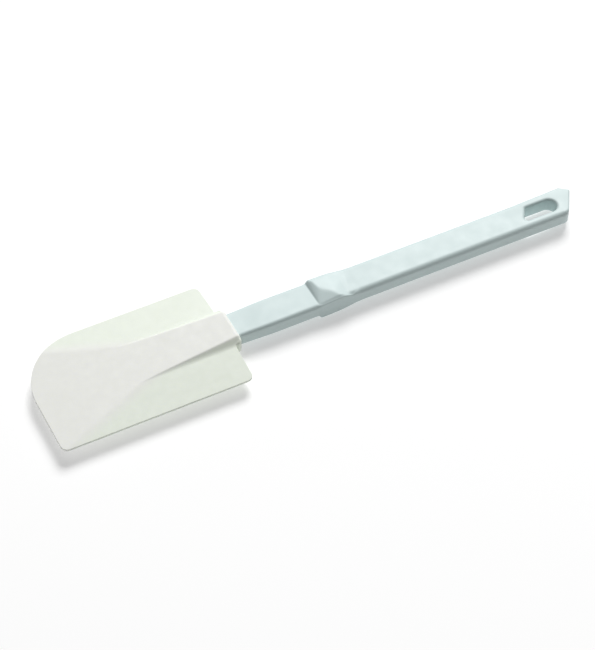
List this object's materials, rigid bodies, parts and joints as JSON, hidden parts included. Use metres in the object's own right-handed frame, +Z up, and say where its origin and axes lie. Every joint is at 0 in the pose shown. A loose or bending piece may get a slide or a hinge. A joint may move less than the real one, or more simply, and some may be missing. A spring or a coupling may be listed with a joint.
{
  "type": "bowl scraper",
  "caption": "Flexible rubber bowl scraper blade with one large rounded corner, moulded onto a slim plastic handle with a raised step and a hanging slot.",
  "frame": {"origin": "under the middle of the length and width, on the surface that the scraper lies on", "axes": "+X along the handle from the blade's front edge to the hanging end, +Y across the blade towards its large rounded corner, +Z up out of the blade's face"},
  "size_m": [0.345, 0.075, 0.015],
  "materials": {
    "handle_plastic": "satin moulded polypropylene, cool white",
    "blade_rubber": "satin thermoplastic rubber, warm white"
  },
  "bodies": {
    "scraper": {"handle": "handle_plastic", "blade_base": "blade_rubber"},
    "lip": {"blade_lip": "blade_rubber"}
  },
  "joints": [
    {"name": "blade_flex", "type": "hinge", "parent": "scraper", "child": "lip", "pos_m": [-0.1225, 0, 0.0075], "axis": [0, 1, 0], "range_deg": [-60, 60], "stiffness_Nm_per_rad": 0.15}
  ]
}
